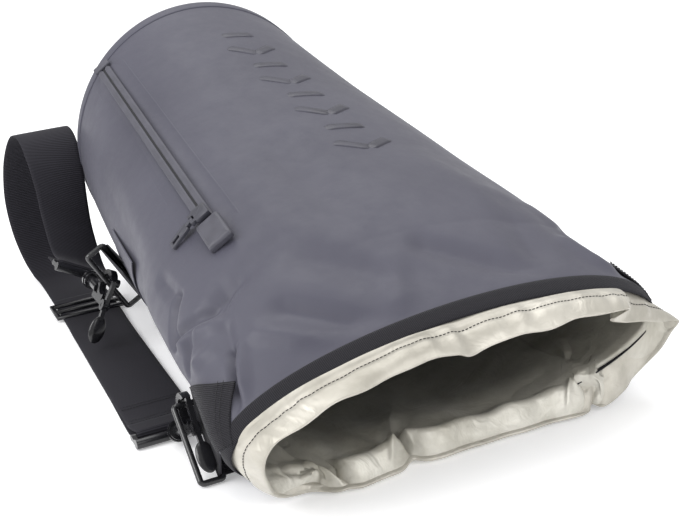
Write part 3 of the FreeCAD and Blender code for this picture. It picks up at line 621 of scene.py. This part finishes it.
def makeHem():  # the facing from under the binding to the lip, then a roll and the lining inside
    angle, lip = mouthAngle, mouthLip
    degrees = np.degrees(angle)
    columns = len(angle)
    top = np.clip(np.sin(angle), 0, 1)
    rows = []
    facing = 22
    rowBack = bagPoints(angle, 3.0, -0.3)
    puckers = slowRandom(columns, 46, 3), slowRandom(columns, 130, 5)
    covered = 0.2  # the share of the facing that lies under the binding
    for step in range(facing + 1):
        t = step / facing
        start = rowBack * (1 - t) ** 2 + bindingFront * (1 - (1 - t) ** 2)
        free = max(0.0, (t - covered) / (1 - covered))
        bow = 4 * free * (1 - free)
        point = start * (1 - t) + lip * t
        outward = np.stack([np.cos(angle), -0.25 * np.ones(columns), np.sin(angle)], -1)
        swell = 3.4 * bow * (0.35 + 0.65 * top)
        pinch = -0.9 * np.exp(-((t - mouth["stitchShare"]) / 0.06) ** 2)
        gather = puckers[0] * bow * free * 2.2 + puckers[1] * bow * 1.1
        point = point + outward * (swell + pinch + gather * (0.3 + 0.7 * top))[:, None]
        rows.append(point)
    lipInward = np.stack([-np.cos(angle), 0.35 * np.ones(columns), -np.sin(angle) * 0.9], -1)
    for out, back in ((0.9, -0.7), (2.0, 0.2), (2.9, 1.4)):
        point = lip + lipInward * out
        point[:, 1] += back
        rows.append(point)
    start = rows[-1]
    linerRows = np.concatenate([np.linspace(0.02, 0.5, 34), np.linspace(0.53, 1, 20)])
    low = np.clip(-np.sin(angle), 0, 1)
    for t in linerRows:
        ease = t ** 1.15
        along = mouth["liningReach"] * ease
        target = insideBag(angle, along, mouth["liningGap"])
        share = 1 - (1 - t) ** 2.6
        point = start * (1 - share) + target * share
        point[:, 1] = start[:, 1] * (1 - ease) + along
        pinned = np.zeros(columns)
        for middle, width, drift, reach in mouth["valleys"]:
            gap = (degrees - middle - drift * t + 180) % 360 - 180
            crease = np.clip(1 - np.abs(gap) / (width * (0.35 + 1.3 * t)), 0, 1) ** 0.8
            pinned = np.maximum(pinned, crease * np.clip(1.2 - t / reach, 0, 1))
        stand = mouth["bulge"][0] * math.exp(-((t - 0.11) / 0.085) ** 2)
        stand += mouth["bulge"][1] * math.exp(-((t - 0.36) / 0.18) ** 2)
        stand *= 1 + 0.12 * np.sin(degrees * 0.1 + 1.0) + 0.05 * np.sin(degrees * 0.5 + 9 * t)
        point[:, 2] += low ** 0.7 * stand * (1 - pinned)
        push = np.zeros(columns)
        for middle, depth, width, drift, reach in mouth["pleats"]:
            gap = (degrees - middle - drift * t + 180) % 360 - 180
            wide = width * (0.25 + 1.6 * t)
            crease = np.clip(1 - np.abs(gap) / wide, 0, 1) ** 1.25
            fade = np.clip(t / 0.05, 0, 1) * np.clip(1 - t / reach, 0, 1) ** 0.8
            push += depth * crease * fade
        push += 1.6 * np.sin(degrees * 0.35 + 4 * t) * np.clip(t * 4, 0, 1) * (1 - t)
        inward = np.stack([-np.cos(angle) * 0.8, np.zeros(columns), -np.sin(angle)], -1)
        point = point + inward * push[:, None]
        point = heldInside(point, 4.5)
        point[:, 2] = np.maximum(point[:, 2], 1.6 + 1.2 * np.clip(t * 6, 0, 1))
        rows.append(point)
    points = np.array(rows)
    points[..., 2] = np.maximum(points[..., 2], 0.35)
    split = facing + 4
    band = gridMesh("hemFacing", atMany(points[:split]), True)
    newObject("hemFacing", band, hemCloth, "bag",
              ("hem_facing", "batten_upper", "batten_lower"))
    inner = gridMesh("liningMouth", atMany(points[split - 1:]), True)
    newObject("liningMouth", inner, innerCloth, "bag")
    return points[:facing + 1], points[-1]


hemRows, liningEdge = makeHem()


def makeLining():  # the rest of the lining, from the mouth to its own end
    angles = mouthAngle
    rows = [liningEdge]
    for along in np.linspace(126, 431, 60):
        points = insideBag(angles, along, mouth["liningGap"])
        inward = 1.1 * np.sin(np.degrees(angles) * 0.31 + along * 0.045)
        points[:, 0] -= np.cos(angles) * inward
        points[:, 2] -= np.sin(angles) * inward * np.clip(np.sin(angles) + 0.4, 0, 1)
        points[:, 2] = np.maximum(points[:, 2], 2.6)
        rows.append(points)
    last = rows[-1]
    middle = last.mean(0)
    for share in (0.9, 0.6, 0.3, 0.02):
        ring = middle + (last - middle) * share
        ring[:, 1] = 433.0
        rows.append(ring)
    mesh = gridMesh("liningBody", atMany(np.array(rows)), True)
    newObject("liningBody", mesh, innerCloth, "bag",
              ("liner", "liner_base"))


makeLining()
print("mouth and lining made")


# the ribbed binding over the joint of shell and facing

binding = {"back": 8.2, "front": -3.8, "out": 0.9}


def makeBinding():
    angles = anglesRound(560)
    rows = []
    uvRows = []
    ring = bagPoints(angles, 2.0)
    lengths = distanceAlong(ring)
    across = np.linspace(0, 1, 9)
    for t in across:
        middle = (binding["back"] + binding["front"]) / 2
        half = (binding["back"] - binding["front"]) / 2
        along = middle + half * (1 - 2 * t) / (1 + 0.3 * np.clip(np.sin(angles), 0, 1))
        edge = min(t, 1 - t)
        out = binding["out"] * (0.15 + 0.85 * min(1.0, edge * 5)) + 0.25
        points = bagPoints(angles, along, out)
        points[:, 2] = np.maximum(points[:, 2], 0.2)
        rows.append(points)
        uvRows.append(np.stack([lengths * mm, np.full(len(angles), t * 14 * mm)], -1))
    mesh = gridMesh("mouthBinding", atMany(np.array(rows)), True, np.array(uvRows))
    tape = newObject("mouthBinding", mesh, tapeWeb, "bag", ("mouth_tape",))
    thicken(tape, 0.8 * mm)


makeBinding()


# thread: small stitches set along a line by Geometry Nodes

def threadRow(name, points, pitch, length, thick):
    line = bpy.data.curves.new(name + "Line", "CURVE")
    line.dimensions = "3D"
    spline = line.splines.new("POLY")
    spline.points.add(len(points) - 1)
    for knot, point in zip(spline.points, points):
        knot.co = (*point, 1)
    holder = bpy.data.objects.new(name, bpy.data.meshes.new(name))
    carrier = bpy.data.objects.new(name + "Carrier", line)
    bpy.context.scene.collection.objects.link(holder)
    bpy.context.scene.collection.objects.link(carrier)
    tree = bpy.data.node_groups.new(name + "Nodes", "GeometryNodeTree")
    sockets = (("Line", "NodeSocketObject"), ("Pitch", "NodeSocketFloat"),
               ("Length", "NodeSocketFloat"), ("Thickness", "NodeSocketFloat"),
               ("Thread", "NodeSocketMaterial"))
    for label, kind in sockets:
        tree.interface.new_socket(label, in_out="INPUT", socket_type=kind)
    tree.interface.new_socket("Geometry", in_out="OUTPUT", socket_type="NodeSocketGeometry")
    nodes = tree.nodes
    given = nodes.new("NodeGroupInput")
    result = nodes.new("NodeGroupOutput")
    info = nodes.new("GeometryNodeObjectInfo")
    resample = nodes.new("GeometryNodeResampleCurve")
    resample.mode = "LENGTH"
    stitch = nodes.new("GeometryNodeMeshUVSphere")
    stitch.inputs["Segments"].default_value = 6
    stitch.inputs["Rings"].default_value = 4
    stitch.inputs["Radius"].default_value = 0.5
    size = nodes.new("ShaderNodeCombineXYZ")
    shape = nodes.new("GeometryNodeTransform")
    scatter = nodes.new("GeometryNodeInstanceOnPoints")
    tangent = nodes.new("GeometryNodeInputTangent")
    align = nodes.new("FunctionNodeAlignRotationToVector")
    align.axis = "Z"
    real = nodes.new("GeometryNodeRealizeInstances")
    paint = nodes.new("GeometryNodeSetMaterial")
    for source, out, target, into in (
            (given, "Line", info, "Object"), (info, "Geometry", resample, "Curve"),
            (given, "Pitch", resample, "Length"), (given, "Thickness", size, "X"),
            (given, "Thickness", size, "Y"), (given, "Length", size, "Z"),
            (stitch, "Mesh", shape, "Geometry"), (size, "Vector", shape, "Scale"),
            (resample, "Curve", scatter, "Points"), (shape, "Geometry", scatter, "Instance"),
            (tangent, "Tangent", align, "Vector"), (align, "Rotation", scatter, "Rotation"),
            (scatter, "Instances", real, "Geometry"), (real, "Geometry", paint, "Geometry"),
            (given, "Thread", paint, "Material"), (paint, "Geometry", result, "Geometry")):
        tree.links.new(source.outputs[out], target.inputs[into])
    modifier = holder.modifiers.new("stitches", "NODES")
    modifier.node_group = tree
    values = {"Line": carrier, "Pitch": pitch * mm, "Length": length * mm,
              "Thickness": thick * mm, "Thread": threadBlack}
    for item in tree.interface.items_tree:
        if item.item_type == "SOCKET" and item.in_out == "INPUT":
            modifier[item.identifier] = values[item.name]
    bpy.context.view_layer.update()
    applied(holder)
    holder.data.shade_smooth()
    bpy.data.objects.remove(carrier)
    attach(holder, "bag")


def hemStitches():
    share = mouth["stitchShare"] * (len(hemRows) - 1)
    low = int(share)
    line = hemRows[low] * (low + 1 - share) + hemRows[low + 1] * (share - low)
    outward = np.stack([np.cos(mouthAngle), -0.4 * np.ones(len(mouthAngle)),
                        np.sin(mouthAngle)], -1)
    line = line + outward * 0.25
    degrees = np.degrees(mouthAngle)
    part = line[(degrees > 4) & (degrees < 192)]
    threadRow("hemThread", atMany(part), pitch=2.7, length=2.3, thick=0.6)


hemStitches()
print("binding and stitches made")


# straps and tabs of flat webbing

def flatBand(name, centres, acrosses, width, thickness, material, body="bag",
             stands=(), columns=13):
    # a strip swept along a line; its edges are rounded and its UV map is in metres
    centres = np.asarray(centres, float)
    acrosses = np.asarray(acrosses, float)
    acrosses = acrosses / np.linalg.norm(acrosses, axis=1, keepdims=True)
    tangents = np.gradient(centres, axis=0)
    tangents /= np.linalg.norm(tangents, axis=1, keepdims=True)
    normals = np.cross(acrosses, tangents)
    normals /= np.linalg.norm(normals, axis=1, keepdims=True)
    distance = distanceAlong(centres)
    side = np.linspace(-1, 1, columns)
    halfT = thickness / 2
    outline = [(s * (width / 2 - halfT * 0.6), halfT * (1 - 0.25 * abs(s) ** 6)) for s in side]
    outline += [(width / 2, 0.0)]
    outline += [(s * (width / 2 - halfT * 0.6), -halfT * (1 - 0.25 * abs(s) ** 6))
                for s in side[::-1]]
    outline += [(-width / 2, 0.0)]
    outline = np.array(outline)
    rows = []
    uvRows = []
    for i in range(len(centres)):
        rows.append(centres[i] + outline[:, :1] * acrosses[i] + outline[:, 1:] * normals[i])
        uvRows.append(np.stack([outline[:, 0] * mm, np.full(len(outline), distance[i] * mm)], -1))
    points = np.array(rows)
    mesh = gridMesh(name, atMany(points), True, np.array(uvRows))
    capEnds(mesh)
    return newObject(name, mesh, material, body, stands)


strap = {
    "width": 48.5, "thickness": 1.3,
    # across, along, height of the strap's line from its loose end to the rear hook
    "route": [(-140, 404, 1.95), (-140.8, 385, 1.95), (-142, 355, 1.95), (-144.5, 318, 2.0),
              (-148, 240, 2.1), (-151.5, 160, 2.8), (-153.2, 142, 5.2)],
    "floorRun": [(-153.5, 142, 0.75), (-150, 200, 0.75), (-147, 260, 0.75), (-141, 375, 0.75),
                 (-138.5, 448, 0.9), (-141, 469, 5), (-145, 484, 18), (-149, 493, 42),
                 (-150.5, 495, 72), (-148, 490, 103), (-144, 478, 126), (-141, 461, 138),
                 (-139, 443, 134), (-139, 428, 116), (-140, 416, 90), (-141, 405, 68)],
}


rearRing = {"at": (-121.6, 300.0, 60.0), "outward": (-0.873, 0.0, -0.488), "barOut": 4.5}


def loopRound(centre, forward, up, first, last, radius, steps=8):
    turns = np.radians(np.linspace(first, last, steps + 1))
    return [tuple(np.array(centre) + np.array(forward) * radius * math.cos(t)
                  + np.array(up) * radius * math.sin(t)) for t in turns]


def makeStrap():
    # the bars of the two hook loops: the rear one hangs from the ring it holds
    frontBar = (-151.5, 130.0, 3.85)
    outward = np.array(rearRing["outward"])
    ringBar = np.array(rearRing["at"]) + outward * rearRing["barOut"]
    rearUp = np.array((0.5, 0, 0.866))
    rearBase = ringBar + outward * 15.5 + np.array((0, 45.5, 0)) - rearUp * 9.5
    rearBar = rearBase + np.array((0, 11.0, 0))
    radius = 2.2 + 0.3 + strap["thickness"] / 2
    forward = np.array((0, -1.0, 0))
    points = list(strap["route"])
    points += loopRound(frontBar, forward, (0, 0, 1), 90, -90, radius)
    points += strap["floorRun"]
    points += [tuple(rearBar + np.array((0, 24.0, 0)) + rearUp * 3.6)]
    points += loopRound(rearBar, forward, rearUp, 90, -90, radius)
    points += [tuple(rearBar + np.array((0, 26.0, 0)) - rearUp * 3.15)]
    line = openThrough(points, 1.5)
    distance = distanceAlong(line)
    turnFrom = distance[np.argmin(np.linalg.norm(line - np.array((-141, 461, 138)), axis=1))]
    turnTo = distance[np.argmin(np.linalg.norm(line - np.array((-140, 410, 80)), axis=1))]
    share = np.clip((distance - turnFrom) / (turnTo - turnFrom), 0, 1)
    share = share * share * (3 - 2 * share)
    across = np.outer(1 - share, (1, 0, 0)) + np.outer(share, (0.866, 0, -0.5))
    flatBand("strapWebbing", line, across, strap["width"], strap["thickness"], strapWeb,
             "bag", ("strap_webbing",), columns=15)


makeStrap()


def strapStitches():
    rows = []
    for along in (148.0, 152.0, 172.0, 176.0):
        middle = -152.6 + (along - 148) * 0.03
        rows.append([(middle - 21 + step * 1.4, along, 3.75 if along > 155 else 4.5)
                     for step in range(31)])
    for index, row in enumerate(rows):
        threadRow(f"strapTack{index}", atMany(np.array(row)), pitch=2.2, length=1.8, thick=0.5)


strapStitches()
print("strap made")


# the side and rear tabs: a strip round each ring's bar, its legs sewn to the bag

tabs = {
    "width": 50.0, "thickness": 1.4, "fold": 2.4, "columns": 27, "samples": 80,
    "bar": (143.0, 69.0, 20.5), "alongBar": (0.0, 0.745, 0.667),
    # rows from the flank to the binding: angle and along at the tab's back and front edges
    "rows": ((191, 76, 196, 25), (184, 66, 191, 18), (172, 50, 182, 9), (160, 35, 174, 3),
             (150, 24, 167, -2)),
}


def makeTab(name, bar, alongBar, toBag, node, leg):
    centre = np.array(bar, float)
    axis = np.array(alongBar, float) / np.linalg.norm(alongBar)
    inward = np.array(toBag, float)
    lift = np.cross(axis, inward)
    radius = tabs["fold"] + tabs["thickness"] / 2
    line = [centre + inward * distance + lift * radius for distance in np.linspace(leg, 0, 16)]
    line += loopRound(centre, inward, lift, 90, 270, radius, 13)[1:-1]
    line += [centre + inward * distance - lift * radius for distance in np.linspace(0, leg, 16)]
    across = np.tile(axis, (len(line), 1))
    flatBand(name, line, across, tabs["width"], tabs["thickness"], tabWeb, "bag",
             (node,), columns=19)


def makeSideTab(name, node, side):  # side is -1 on the left and 1 on the right
    radius = tabs["fold"] + tabs["thickness"] / 2
    bar = np.array(tabs["bar"]) * (side, 1, 1)
    axis = np.array(tabs["alongBar"])
    lift = np.cross(axis, (side, 0, 0)) * -side
    lift = lift if lift[2] > 0 else -lift
    columns = []
    uvColumns = []
    for across in np.linspace(-1, 1, tabs["columns"]):
        front = (across + 1) / 2
        spot = bar + axis * across * tabs["width"] / 2 * -1
        line = [spot - (side * 14, 0, 0) - lift * radius, spot - lift * radius]
        line += loopRound(spot, (side, 0, 0), lift, -50, 50, radius, 2)
        for angleA, alongA, angleB, alongB in tabs["rows"]:
            angle = angleA + (angleB - angleA) * front
            angle = math.radians(angle if side < 0 else 180 - angle)
            along = alongA + (alongB - alongA) * front
            line.append(bagPoints(np.array([angle]), np.array([along]), 1.0)[0])
        line = openThrough(line, 1.0)
        distance = distanceAlong(line)
        even = np.linspace(0, distance[-1], tabs["samples"])
        line = np.stack([np.interp(even, distance, line[:, i]) for i in range(3)], -1)
        line[:, 2] = np.maximum(line[:, 2], 1.6)
        columns.append(line)
        sideways = np.full(tabs["samples"], across * tabs["width"] / 2)
        uvColumns.append(np.stack([sideways, even], -1) * mm)
    points = np.array(columns).transpose(1, 0, 2)
    mesh = gridMesh(name, atMany(points), False, np.array(uvColumns).transpose(1, 0, 2))
    tab = newObject(name, mesh, tabWeb, "bag", (node,))
    thicken(tab, tabs["thickness"] * mm, 0.0)
    for index, row in enumerate((-7, -10)):
        threadRow(f"{name}Thread{index}",
                  atMany(points[row] + np.array((side * 0.5, -0.2, 0.9))), pitch=2.2, length=1.8,
                  thick=0.45)


makeSideTab("tabLeft", "tab_left", -1)
makeSideTab("tabRight", "tab_right", 1)
rearBar = np.array(rearRing["at"]) + np.array(rearRing["outward"]) * rearRing["barOut"]
makeTab("tabRear", rearBar, (-0.488, 0, 0.873), (0, -1, 0), "tab_rear", 60.0)
print("tabs made")


# hardware kept from the frame: rounded copies of the blocky parts, new finishes on the rest

def rounded(node, radius, material, body, segments=3, limit=35):
    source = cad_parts[node].data
    mesh = source.copy()
    bm = bmesh.new()
    bm.from_mesh(mesh)
    bmesh.ops.remove_doubles(bm, verts=bm.verts, dist=0.00001)
    bmesh.ops.dissolve_limit(bm, angle_limit=math.radians(1.5), verts=bm.verts, edges=bm.edges)
    bmesh.ops.recalc_face_normals(bm, faces=bm.faces)
    bm.to_mesh(mesh)
    bm.free()
    name = "".join(part.capitalize() for part in node.split("_"))
    piece = newObject("soft" + name, mesh, material, body, (node,))
    bevel = piece.modifiers.new("edges", "BEVEL")
    bevel.width = radius * mm
    bevel.segments = segments
    bevel.limit_method = "ANGLE"
    bevel.angle_limit = math.radians(limit)
    bevel.harden_normals = True
    applied(piece)
    piece.data.shade_smooth()
    piece.data.set_sharp_from_angle(angle=math.radians(50))
    return piece


def repaint(node, material):
    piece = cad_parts[node]
    piece.data.materials.clear()
    piece.data.materials.append(material)


for node, radius, material, body, slotName in (
        ("zip_garage", 1.1, zipRubber, "bag", "zip_rubber"),
        ("zip_end_stop", 0.9, zipRubber, "bag", "zip_rubber"),
        ("zip_slider", 0.6, zipSatin, "zip_slider", "zip_plastic"),
        ("zip_puller", 0.5, zipSatin, "zip_puller", "zip_plastic"),
        ("strap_slider", 0.8, glossBlack, "strap_slider", "black_plastic")):
    rounded(node, radius, material, body)
for place in ("left", "right", "rear"):
    repaint(f"ring_{place}", metalBlack)
for place in ("front", "rear"):
    repaint(f"hook_{place}_pivot_pin", metalBlack)
    for part in ("base", "claw", "lever"):
        repaint(f"hook_{place}_{part}", glossBlack)
for node, material in (("zip_coil", zipDark), ("patch_rear", shellCloth),
                       ("liner_seam_tape", innerCloth), ("pocket_pouch", innerCloth)):
    repaint(node, material)
print("hardware dressed")


# the welded zip: a panel with a weld line down each side, and two rounded lips over the coil

zipper = {
    "near": (-101.0, 145.0, 137.0), "run": (14.0, 274.0, 53.0), "up": (-0.579, 0.0, 0.815),
    "length": 278.0, "panelHalf": 21.0, "panelFrom": -26.0, "panelTo": 290.0, "panelFade": 26.0,
    "lipWidth": 5.2, "lipGap": 1.6, "lipHeight": 2.4, "lipLow": 1.7,
}


def zipAxes():
    run = Vector(zipper["run"]).normalized()
    side = run.cross(Vector(zipper["up"])).normalized()
    return Vector(zipper["near"]), side, run, side.cross(run)


def zipPoint(across, along, height):
    near, side, run, up = zipAxes()
    return near + side * across + run * along + up * height


def onBag(point, out):  # the spot on the bag's outside nearest to a point, moved out by out
    along = point[1]
    half, rise, pitch, tilt, lift = bagSection(along)
    angle = math.atan2((point[2] - rise - lift) / rise, point[0] / half)
    return bagPoints(np.array([angle]), np.array([along]), out)[0]


def makeZip():
    rows = []
    half = [(0.3, 0.9), (0.42, 0.6), (0.5, 0.1), (0.7, -0.2), (0.83, -0.12), (0.86, 0.02),
            (0.88, -0.1), (0.90, -0.34), (0.97, -0.42), (1.0, -0.9)]
    profile = [(-share, out) for share, out in half[::-1]] + half
    for along in np.linspace(zipper["panelFrom"], zipper["panelTo"], 90):
        edge = min(along - zipper["panelFrom"], zipper["panelTo"] - along)
        sink = 1.1 * max(0.0, 1 - edge / zipper["panelFade"]) ** 1.5  # its ends die into the shell
        row = []
        for share, out in profile:
            point = zipPoint(share * zipper["panelHalf"], along, 0)
            row.append(onBag(point, out * max(0.0, 1 - sink) + 0.18 - sink))
        rows.append(row)
    mesh = gridMesh("zipPanel", atMany(np.array(rows)))
    panel = newObject("zipPanel", mesh, shellCloth, "bag", ("zip_panel",))
    if mesh.polygons[len(mesh.polygons) // 2].normal.z < 0:
        mesh.flip_normals()
    thicken(panel, 0.5 * mm)
    middle = (zipper["lipWidth"] + zipper["lipGap"]) / 2
    for name, node, side in (("zipLipLeft", "zip_lip_left", -middle),
                             ("zipLipRight", "zip_lip_right", middle)):
        rows = []
        for along in np.linspace(0, zipper["length"], 70):
            row = []
            for turn in anglesRound(20):
                power = 0.55
                c, s = math.cos(turn), math.sin(turn)
                across = math.copysign(abs(c) ** power, c) * zipper["lipWidth"] / 2
                height = math.copysign(abs(s) ** power, s) * zipper["lipHeight"] / 2
                end = 1 if 0 < along < zipper["length"] else 0.3
                row.append(zipPoint(side + across * end, along,
                                    zipper["lipLow"] + zipper["lipHeight"] / 2 + height * end))
            rows.append(row)
        mesh = gridMesh(name, atMany(np.array(rows)), True)
        capEnds(mesh)
        newObject(name, mesh, zipRubber, "bag", (node,))


makeZip()
print("zip made")


# a row of plain raised chevrons and bars along the top, welded on, in a slightly darker and
# glossier finish than the shell

ornament = {
    "angleNear": 77.0, "angleFar": 82.0, "from": 172.0, "to": 372.0, "count": 8,
    "height": 37.0, "stroke": 8.0, "out": 0.9,
}


def makeOrnament():
    vertices = []
    faces = []
    count = ornament["count"]
    step = (ornament["to"] - ornament["from"]) / (count - 1)
    for index in range(count):
        along = ornament["from"] + step * index
        share = index / (count - 1)
        angle = math.radians(ornament["angleNear"] * (1 - share) + ornament["angleFar"] * share)
        half = ornament["height"] / 2 * (1.0 if index % 2 == 0 else 0.72)
        strokes = []
        if index % 2 == 0:
            strokes = [((-half, 7), (0, -7)), ((0, -7), (half, 7))]
        else:
            strokes = [((-half, 0), (half, 0))]
        for start, end in strokes:
            a, b = np.array(start, float), np.array(end, float)
            line = (b - a) / np.linalg.norm(b - a)
            square = np.array((-line[1], line[0])) * ornament["stroke"] / 2
            rings = []
            for t in np.linspace(0, 1, 9):
                spot = a + (b - a) * t
                ring = []
                for s, out in ((-1.0, -0.3), (-0.86, 0.8), (-0.4, 1.0), (0.4, 1.0), (0.86, 0.8),
                               (1.0, -0.3)):
                    narrow = 1.0 if 0 < t < 1 else 0.6
                    flat = spot + square * s * narrow
                    place = dressedBag(np.array([angle + flat[0] / base["radius"]]),
                                       np.array([along + flat[1]]),
                                       out * ornament["out"] if 0 < t < 1 else -0.1)[0]
                    ring.append(len(vertices))
                    vertices.append(tuple(atMany(place)))
                rings.append(ring)
            for first, second in zip(rings, rings[1:]):
                for i in range(5):
                    faces.append((first[i], first[i + 1], second[i + 1], second[i]))
    mesh = bpy.data.meshes.new("raisedPattern")
    mesh.from_pydata(vertices, [], faces)
    bm = bmesh.new()
    bm.from_mesh(mesh)
    bmesh.ops.recalc_face_normals(bm, faces=bm.faces)
    up = sum(f.normal.z * f.calc_area() for f in bm.faces)
    if up < 0:
        bmesh.ops.reverse_faces(bm, faces=bm.faces)
    bm.to_mesh(mesh)
    bm.free()
    mesh.shade_smooth()
    newObject("raisedPattern", mesh, markRubber, "bag")


makeOrnament()
print("pattern made")


# floor, light and camera

setting = {
    "camera": (-0.3563, -0.8811, 0.4323), "lens": 69.3,
    "right": (0.89771, -0.43494, -0.07024), "up": (0.21906, 0.30231, 0.92770),
    "back": (-0.38226, -0.84819, 0.36666),
    "floor": (0.93, 0.93, 0.94), "sky": 0.62,
}


def makeSetting():
    scene = bpy.context.scene
    mesh = bpy.data.meshes.new("floor")
    mesh.from_pydata([(-6, -6, 0), (6, -6, 0), (6, 6, 0), (-6, 6, 0)], [], [(0, 1, 2, 3)])
    floor = bpy.data.objects.new("floor", mesh)
    scene.collection.objects.link(floor)
    floor.location.z = -0.0004
    mesh.materials.append(newMaterial("paleFloor", setting["floor"], 0.6,
                                      Specular_IOR_Level=0.2, Emission_Strength=0.25,
                                      Emission_Color=(1, 1, 1, 1)))
    world = bpy.data.worlds.new("softSky")
    world.use_nodes = True
    world.node_tree.nodes["Background"].inputs["Color"].default_value = (1, 1, 1, 1)
    world.node_tree.nodes["Background"].inputs["Strength"].default_value = setting["sky"]
    scene.world = world
    for name, where, aim, size, power in (
            ("keyLight", (-1.5, -0.1, 1.2), (0, 0, 0.1), 1.3, 26.0),
            ("topLight", (0.3, 0.6, 1.9), (0, 0, 0), 1.8, 22.0),
            ("frontLight", (0.5, -1.8, 1.1), (0, -0.2, 0.05), 1.4, 14.0)):
        light = bpy.data.lights.new(name, "AREA")
        light.size = size
        light.energy = power
        lamp = bpy.data.objects.new(name, light)
        lamp.location = where
        lamp.rotation_mode = "QUATERNION"
        lamp.rotation_quaternion = (Vector(aim) - Vector(where)).to_track_quat("-Z", "Y")
        scene.collection.objects.link(lamp)
    camera = bpy.data.cameras.new("camera")
    camera.lens = setting["lens"]
    camera.sensor_width = 36.0
    camera.clip_start = 0.01
    viewer = bpy.data.objects.new("camera", camera)
    turn = Matrix((setting["right"], setting["up"], setting["back"])).transposed()
    viewer.rotation_mode = "QUATERNION"
    viewer.rotation_quaternion = turn.to_quaternion()
    viewer.location = setting["camera"]
    scene.collection.objects.link(viewer)
    scene.camera = viewer
    scene.view_settings.view_transform = "Standard"


makeSetting()
print("setting made")
